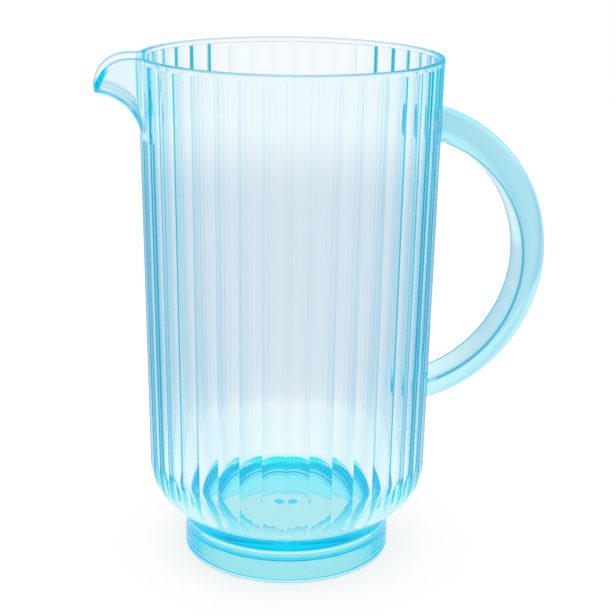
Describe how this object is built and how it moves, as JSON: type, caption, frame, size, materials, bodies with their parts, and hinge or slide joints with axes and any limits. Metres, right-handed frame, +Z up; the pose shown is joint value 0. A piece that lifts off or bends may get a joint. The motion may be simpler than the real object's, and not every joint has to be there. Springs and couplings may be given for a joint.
{
  "type": "fluted serving pitcher",
  "caption": "Tall tinted clear plastic pitcher with a fluted wall, a drooping pouring beak, a C handle and a ring foot, for serving cold drinks.",
  "frame": {"origin": "on the body's axis, at the table that the foot ring stands on", "axes": "+Z up along the body's axis, +X toward the handle, -X toward the beak"},
  "size_m": [0.2089, 0.136, 0.235],
  "materials": {
    "body_plastic": "clear turquoise-tinted moulded plastic, polished",
    "handle_plastic": "clear turquoise-tinted moulded plastic, solid section, polished",
    "foot_plastic": "clear turquoise-tinted moulded plastic, polished"
  },
  "bodies": {
    "root": {"pitcher_body": "body_plastic", "handle": "handle_plastic", "foot_ring": "foot_plastic"}
  },
  "joints": []
}
